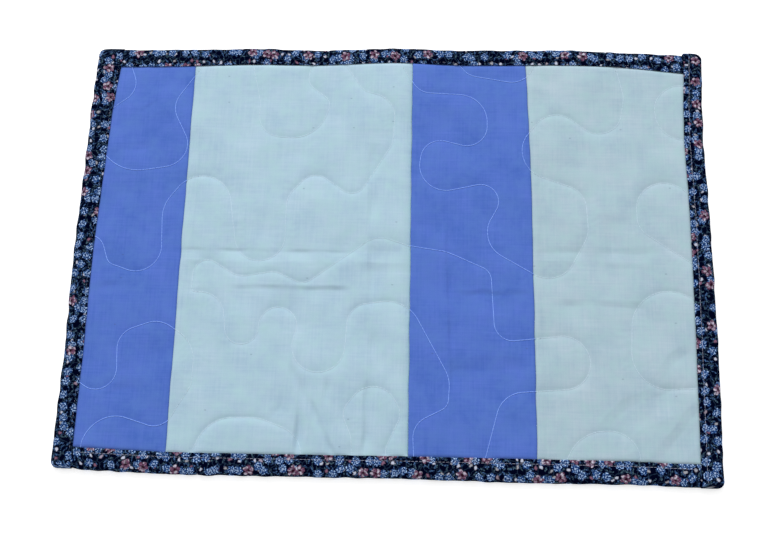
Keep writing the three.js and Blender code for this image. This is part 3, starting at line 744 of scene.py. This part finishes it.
def plainCotton(name, shade, light, faded, slubShare):
    # Plain-woven quilting cotton, dyed in the piece: matt, with faint uneven threads both ways, and
    # washed, so that patches of it have faded a little
    c = cottonCloth
    material, tree = newMaterial(name)
    place = addNode(tree, "ShaderNodeTexCoord").outputs["Object"]
    fine = 1 / (c["streakWide"] * mm)
    drawn = 1 / (c["streakLong"] * mm)
    bands = math.tau / (20 * c["threadPitch"] * mm)  # a wave texture's bands are tau / 20 apart at scale 1
    streaks = []
    waves = []
    for stretch, direction in (((drawn, fine, 0), "Y"), ((fine, drawn, 0), "X")):  # weft, then warp
        stretched = addNode(tree, "ShaderNodeMapping", {"Vector": place, "Scale": stretch})
        streaks.append(addNode(tree, "ShaderNodeTexNoise", {
            "Vector": stretched.outputs["Vector"], "Scale": 1.0, "Detail": 2.0}).outputs["Fac"])
        waves.append(addNode(tree, "ShaderNodeTexWave", {
            "Vector": place, "Scale": bands, "Distortion": 0.6}, bands_direction=direction).outputs["Fac"])
    threads = addNode(tree, "ShaderNodeMath", {0: streaks[0], 1: streaks[1]}, operation="ADD")
    weave = addNode(tree, "ShaderNodeMath", {0: waves[0], 1: waves[1]}, operation="MULTIPLY")
    blotch = addNode(tree, "ShaderNodeTexNoise", {
        "Vector": place, "Scale": 1 / (c["blotchSize"] * mm), "Detail": 4.0, "Roughness": 0.6})
    uneven = addNode(tree, "ShaderNodeMath", {
        0: blotch.outputs["Fac"], 1: c["blotchWeight"], 2: threads.outputs[0]}, operation="MULTIPLY_ADD")
    tone = addNode(tree, "ShaderNodeMapRange", {
        "Value": uneven.outputs[0], "From Min": c["darkest"], "From Max": c["lightest"]})
    dyed = addNode(tree, "ShaderNodeMix", {
        "Factor": tone.outputs["Result"], "A": hexToLinear(shade), "B": hexToLinear(light)},
        data_type="RGBA")
    patch = addNode(tree, "ShaderNodeTexNoise", {
        "Vector": place, "Scale": 1 / (c["patchSize"] * mm), "Detail": 3.0, "Roughness": 0.65})
    fading = addNode(tree, "ShaderNodeMapRange", {
        "Value": patch.outputs["Fac"], "From Min": c["patchStart"], "From Max": c["patchFull"]})
    washed = addNode(tree, "ShaderNodeMix", {
        "Factor": fading.outputs["Result"], "A": dyed.outputs["Result"], "B": hexToLinear(faded)},
        data_type="RGBA")
    slubPlace = addNode(tree, "ShaderNodeMapping", {
        "Vector": place, "Scale": (1 / (c["slubLong"] * mm), 1 / mm, 0)})
    slubs = addNode(tree, "ShaderNodeTexVoronoi", {
        "Vector": slubPlace.outputs["Vector"], "Scale": 1 / c["slubCell"], "Randomness": 1.0},
        voronoi_dimensions="2D")
    speck = addNode(tree, "ShaderNodeMapRange", {
        "Value": slubs.outputs["Distance"], "From Min": c["slubEdge"] / c["slubCell"],
        "From Max": c["slubCore"] / c["slubCell"], "To Min": 0.0, "To Max": c["slubStrength"]})
    chance = addNode(tree, "ShaderNodeSeparateXYZ", {"Vector": slubs.outputs["Color"]})
    few = addNode(tree, "ShaderNodeMath", {0: chance.outputs["X"], 1: slubShare}, operation="LESS_THAN")
    slub = addNode(tree, "ShaderNodeMath", {0: speck.outputs["Result"], 1: few.outputs[0]},
                   operation="MULTIPLY")
    base = addNode(tree, "ShaderNodeMix", {
        "Factor": slub.outputs[0], "A": washed.outputs["Result"], "B": hexToLinear(c["slubTone"])},
        data_type="RGBA")
    relief = addNode(tree, "ShaderNodeMath", {
        0: weave.outputs[0], 1: c["weaveShare"], 2: threads.outputs[0]}, operation="MULTIPLY_ADD")
    bump = addNode(tree, "ShaderNodeBump", {
        "Strength": 0.25, "Distance": 0.1 * mm, "Height": relief.outputs[0]})
    surface = addNode(tree, "ShaderNodeBsdfPrincipled", {
        "Base Color": base.outputs["Result"], "Roughness": 0.9, "Specular IOR Level": 0.2,
        "Sheen Weight": 0.05, "Sheen Roughness": 0.5, "Normal": bump.outputs["Normal"]})
    addNode(tree, "ShaderNodeOutputMaterial", {"Surface": surface.outputs["BSDF"]})
    return material


printCloth = dict(   # sizes in mm
    ground="01041a",
    stem="1d2c40",
    stemCell=5.2,
    stemShift=(3, 7, 0),
    stemEdge=0.06,   # share of a cell
    stemCore=0.03,
    wobbleSize=2.2,  # outlines are drawn by hand, with waves of about this size
    wobble=2.6,      # and strength
    fleckSize=0.9,
    scatter=0.75,    # how far motifs stray from even rows
    heart=0.75,      # the middle is filled up to the petals' reach, less this share of their size
    edge=0.15,       # softness of an outline
)

# Motifs in the order in which they are printed: petals stand around the middle at the reach, share = part of
# the cells that has one. Layers give a tone, what it follows, where it starts and where it is full.
leaf = dict(cell=4.6, petals=2, reach=0.0, size=1.8, slim=3.4, share=0.9, base="0d1730")
printMotifs = [
    dict(leaf, shift=(11, 2, 0), layers=[("486270", "fleck", 0.42, 0.6)]),
    dict(leaf, shift=(37, 29, 0), layers=[("446490", "fleck", 0.42, 0.6)]),
    dict(shift=(19, 5, 0), cell=6.3, petals=2, reach=0.0, size=1.6, slim=1.4, share=0.5, base="b4bacd",
         layers=[("7d5a70", "chance", 0.5, 0.55), ("9698a0", "chance", 0.72, 0.77),
                 ("2b2434", "inside", 0.8, 0.1)]),  # buds
    dict(shift=(2, 23, 0), cell=8.4, petals=6, reach=2.0, size=1.25, slim=1.0, share=0.8, base="102a5a",
         layers=[("2f62a6", "fleck", 0.42, 0.6), ("b2cdec", "fleck", 0.53, 0.64),
                 ("0c1c42", "inside", 0.45, 0.0), ("93a6c8", "middle", 0.7, 0.4)]),  # blue flowers
    dict(shift=(31, 17, 0), cell=12.2, petals=5, reach=2.4, size=1.5, slim=1.0, share=0.32, base="50324a",
         layers=[("7c5670", "fleck", 0.42, 0.6), ("c3bfd0", "wobble", 0.48, 0.66),
                 ("2f1626", "inside", 0.5, 0.0), ("260e1c", "middle", 1.1, 0.7)]),  # roses
]


def strewMotif(tree, place, flower):
    # One motif to a cell: rounded petals that stand around its middle, or one oval where the reach is 0.
    # Gives how much it covers a place, how far inside a petal the place is and how far from the motif's
    # middle, both in mm, and a number that differs from motif to motif.
    moved = addNode(tree, "ShaderNodeMapping", {"Vector": place, "Location": flower["shift"]})
    cells = addNode(tree, "ShaderNodeTexVoronoi", {
        "Vector": moved.outputs["Vector"], "Scale": 1 / flower["cell"], "Randomness": printCloth["scatter"]},
        voronoi_dimensions="2D")
    fromMiddle = addNode(tree, "ShaderNodeVectorMath", {
        0: moved.outputs["Vector"], 1: cells.outputs["Position"]}, operation="SUBTRACT")
    chance = addNode(tree, "ShaderNodeSeparateXYZ", {"Vector": cells.outputs["Color"]})
    spot = addNode(tree, "ShaderNodeSeparateXYZ", {"Vector": fromMiddle.outputs["Vector"]})
    distance = addNode(tree, "ShaderNodeVectorMath", {0: fromMiddle.outputs["Vector"]}, operation="LENGTH")
    angle = addNode(tree, "ShaderNodeMath", {0: spot.outputs["Y"], 1: spot.outputs["X"]},
                    operation="ARCTAN2")
    turned = addNode(tree, "ShaderNodeMath", {0: chance.outputs["X"], 1: math.tau, 2: angle.outputs[0]},
                     operation="MULTIPLY_ADD")
    folded = addNode(tree, "ShaderNodeMath", {0: turned.outputs[0], 1: math.pi / flower["petals"]},
                     operation="PINGPONG")
    run = addNode(tree, "ShaderNodeMath", {0: folded.outputs[0]}, operation="COSINE")
    rise = addNode(tree, "ShaderNodeMath", {0: folded.outputs[0]}, operation="SINE")
    outward = addNode(tree, "ShaderNodeMath", {
        0: run.outputs[0], 1: distance.outputs["Value"], 2: -flower["reach"]}, operation="MULTIPLY_ADD")
    wide = addNode(tree, "ShaderNodeMath", {0: distance.outputs["Value"], 1: flower["slim"]},
                   operation="MULTIPLY")
    aside = addNode(tree, "ShaderNodeMath", {0: rise.outputs[0], 1: wide.outputs[0]}, operation="MULTIPLY")
    inPetal = addNode(tree, "ShaderNodeCombineXYZ", {"X": outward.outputs[0], "Y": aside.outputs[0]})
    fromPetal = addNode(tree, "ShaderNodeVectorMath", {0: inPetal.outputs["Vector"]}, operation="LENGTH")
    petal = addNode(tree, "ShaderNodeMath", {0: flower["size"], 1: fromPetal.outputs["Value"]},
                    operation="SUBTRACT")
    filled = flower["reach"] - printCloth["heart"] * flower["size"]
    heart = addNode(tree, "ShaderNodeMath", {0: filled, 1: distance.outputs["Value"]}, operation="SUBTRACT")
    inside = addNode(tree, "ShaderNodeMath", {0: petal.outputs[0], 1: heart.outputs[0]}, operation="MAXIMUM")
    kept = addNode(tree, "ShaderNodeMath", {0: chance.outputs["Y"], 1: flower["share"]},
                   operation="LESS_THAN")
    shown = addNode(tree, "ShaderNodeMapRange", {
        "Value": inside.outputs[0], "From Min": -printCloth["edge"], "From Max": printCloth["edge"]})
    cover = addNode(tree, "ShaderNodeMath", {0: shown.outputs["Result"], 1: kept.outputs[0]},
                    operation="MULTIPLY")
    return dict(cover=cover.outputs[0], inside=inside.outputs[0], middle=distance.outputs["Value"],
                chance=chance.outputs["Z"])


def flowerPrint(name):
    # Printed cotton lawn: small rose and blue flowers, buds and leaves strewn over a blue-black ground
    p = printCloth
    material, tree = newMaterial(name)
    place = addNode(tree, "ShaderNodeAttribute", attribute_name="printPlace").outputs["Vector"]
    wobble = addNode(tree, "ShaderNodeTexNoise", {
        "Vector": place, "Scale": 1 / p["wobbleSize"], "Detail": 2.0})
    centred = addNode(tree, "ShaderNodeVectorMath", {0: wobble.outputs["Color"], 1: (0.5, 0.5, 0.5)},
                      operation="SUBTRACT")
    drawn = addNode(tree, "ShaderNodeVectorMath", {
        0: centred.outputs["Vector"], 1: (p["wobble"], p["wobble"], 0), 2: place}, operation="MULTIPLY_ADD")
    fleck = addNode(tree, "ShaderNodeTexNoise", {
        "Vector": place, "Scale": 1 / p["fleckSize"], "Detail": 1.0})
    stemPlace = addNode(tree, "ShaderNodeMapping", {
        "Vector": drawn.outputs["Vector"], "Location": p["stemShift"]})
    stems = addNode(tree, "ShaderNodeTexVoronoi", {
        "Vector": stemPlace.outputs["Vector"], "Scale": 1 / p["stemCell"], "Randomness": 1.0},
        voronoi_dimensions="2D", feature="DISTANCE_TO_EDGE")
    onStem = addNode(tree, "ShaderNodeMapRange", {
        "Value": stems.outputs["Distance"], "From Min": p["stemEdge"], "From Max": p["stemCore"]})
    cloth = addNode(tree, "ShaderNodeMix", {
        "Factor": onStem.outputs["Result"], "A": hexToLinear(p["ground"]), "B": hexToLinear(p["stem"])},
        data_type="RGBA")
    for flower in printMotifs:
        found = strewMotif(tree, drawn.outputs["Vector"], flower)
        found.update(fleck=fleck.outputs["Fac"], wobble=wobble.outputs["Fac"])
        colour = hexToLinear(flower["base"])
        for tone, follows, start, full in flower["layers"]:
            amount = addNode(tree, "ShaderNodeMapRange", {
                "Value": found[follows], "From Min": start, "From Max": full})
            layer = addNode(tree, "ShaderNodeMix", {
                "Factor": amount.outputs["Result"], "A": colour, "B": hexToLinear(tone)}, data_type="RGBA")
            colour = layer.outputs["Result"]
        cloth = addNode(tree, "ShaderNodeMix", {
            "Factor": found["cover"], "A": cloth.outputs["Result"], "B": colour}, data_type="RGBA")
    bump = addNode(tree, "ShaderNodeBump", {
        "Strength": 0.3, "Distance": 0.1 * mm, "Height": fleck.outputs["Fac"]})
    surface = addNode(tree, "ShaderNodeBsdfPrincipled", {
        "Base Color": cloth.outputs["Result"], "Roughness": 0.9, "Specular IOR Level": 0.0,
        "Normal": bump.outputs["Normal"]})
    addNode(tree, "ShaderNodeOutputMaterial", {"Surface": surface.outputs["BSDF"]})
    return material


threadTones = dict(
    fibreSize=0.6,    # mm
    shadeShare=0.35,  # most of the shade that mixes in
    blue=dict(light="90b4ff", shade="769ef4"),
    pale=dict(light="d0e0ec", shade="bad0df"),
    grey=dict(light="a3a5bb", shade="7d8098"),
)


def cottonThread(name, light, shade):
    # Spun cotton sewing thread: a soft twist of two plies that catches a little light
    material, tree = newMaterial(name)
    place = addNode(tree, "ShaderNodeTexCoord").outputs["Object"]
    fibre = addNode(tree, "ShaderNodeTexNoise", {
        "Vector": place, "Scale": 1 / (threadTones["fibreSize"] * mm), "Detail": 2.0})
    tone = addNode(tree, "ShaderNodeMapRange", {
        "Value": fibre.outputs["Fac"], "From Min": 0.3, "From Max": 0.7, "To Min": 0.0,
        "To Max": threadTones["shadeShare"]})
    base = addNode(tree, "ShaderNodeMix", {
        "Factor": tone.outputs["Result"], "A": hexToLinear(light), "B": hexToLinear(shade)},
        data_type="RGBA")
    surface = addNode(tree, "ShaderNodeBsdfPrincipled", {
        "Base Color": base.outputs["Result"], "Roughness": 0.7, "Specular IOR Level": 0.4})
    addNode(tree, "ShaderNodeOutputMaterial", {"Surface": surface.outputs["BSDF"]})
    return material


blueCotton = plainCotton("blue plain-woven cotton", **cottonTones["blue"])
paleLeftCotton = plainCotton("pale plain-woven cotton, left", **cottonTones["paleLeft"])
paleRightCotton = plainCotton("pale plain-woven cotton, right", **cottonTones["paleRight"])
backingCotton = plainCotton("plain cotton backing", **cottonTones["backing"])
printedCotton = flowerPrint("flower-printed cotton")
paleThread = cottonThread("pale cotton thread", **threadTones["pale"])
blueThread = cottonThread("light blue cotton thread", **threadTones["blue"])
greyThread = cottonThread("grey cotton thread", **threadTones["grey"])
print("materials:", len(bpy.data.materials))


# Making the mat

panelPieces = [
    ("quilted_blue_left", "panel_blue_left", "blue_cotton", blueCotton),
    ("quilted_pale_left", "panel_pale_left", "pale_cotton", paleLeftCotton),
    ("quilted_blue_right", "panel_blue_right", "blue_cotton", blueCotton),
    ("quilted_pale_right", "panel_pale_right", "pale_cotton", paleRightCotton),
]
runningStitches = stitchNodes("Running stitches")
threadPieces = [
    sewStitches(f"quilting_thread_{over}", quiltingRuns(over), quiltingThread[over], thread, runningStitches)
    for over, thread in (("blue", blueThread), ("pale", paleThread))
]
threadPieces.append(
    sewStitches("topstitch_thread", topstitchRuns(), topstitchThread, greyThread, runningStitches))
for i, (name, node, slotName, cotton) in enumerate(panelPieces):
    piece, flat = quiltedPanel(name, i, cotton, backingCotton)
    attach(piece, "root")
    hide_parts(node)
for side in bindingEdges:
    piece, flat = foldedStrip(side, printedCotton)
    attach(piece, "root")
    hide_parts(f"binding_{side}")
for piece in threadPieces:
    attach(piece, "root")


# Floor, light and camera

studio = dict(
    floorSize=6000, floorDrop=0.1, floorColour="f7f7f7", floorGlow=0.42, worldLight=0.68,
    keyPlace=(-520, 3424, 2000), keySize=(2080, 1440), keyPower=134,
)
view = dict(lens=44.03, place=(27.0, -180.7, 651.0), aim=(-3.1, -12.8, 3.0), roll=-8.8)

floorHalf = studio["floorSize"] / 2
corners = [(right * floorHalf, far * floorHalf, -studio["floorDrop"])
           for right, far in ((-1, -1), (1, -1), (1, 1), (-1, 1))]
floorPaint, floorTree = newMaterial("white light table")  # lit from below, so hardly any shadow shows
floorSurface = addNode(floorTree, "ShaderNodeBsdfPrincipled", {
    "Base Color": hexToLinear(studio["floorColour"]), "Roughness": 0.95, "Specular IOR Level": 0.1,
    "Emission Color": (1, 1, 1, 1), "Emission Strength": studio["floorGlow"]})
addNode(floorTree, "ShaderNodeOutputMaterial", {"Surface": floorSurface.outputs["BSDF"]})
newPiece("floor", corners, [(0, 1, 2, 3)], [floorPaint])

scene = bpy.context.scene
scene.view_settings.view_transform = "Standard"
scene.world = bpy.data.worlds.new("soft studio")
scene.world.use_nodes = True
scene.world.node_tree.nodes.clear()
sky = addNode(scene.world.node_tree, "ShaderNodeBackground", {
    "Color": (1, 1, 1, 1), "Strength": studio["worldLight"]})
addNode(scene.world.node_tree, "ShaderNodeOutputWorld", {"Surface": sky.outputs["Background"]})

keyLamp = bpy.data.lights.new("key softbox", "AREA")
keyLamp.shape = "RECTANGLE"
keyLamp.size, keyLamp.size_y = (s * mm for s in studio["keySize"])
keyLamp.energy = studio["keyPower"]
key = bpy.data.objects.new("key softbox", keyLamp)
key.location = Vector(studio["keyPlace"]) * mm
key.rotation_euler = (-key.location).to_track_quat("-Z", "Y").to_euler()
bpy.context.collection.objects.link(key)

lens = bpy.data.cameras.new("camera")
lens.lens = view["lens"]
camera = bpy.data.objects.new("camera", lens)
camera.location = Vector(view["place"]) * mm
sight = (Vector(view["aim"]) - Vector(view["place"])).to_track_quat("-Z", "Y")
camera.rotation_euler = (sight @ Quaternion((0, 0, 1), math.radians(view["roll"]))).to_euler()
bpy.context.collection.objects.link(camera)
scene.camera = camera
print("studio ready")
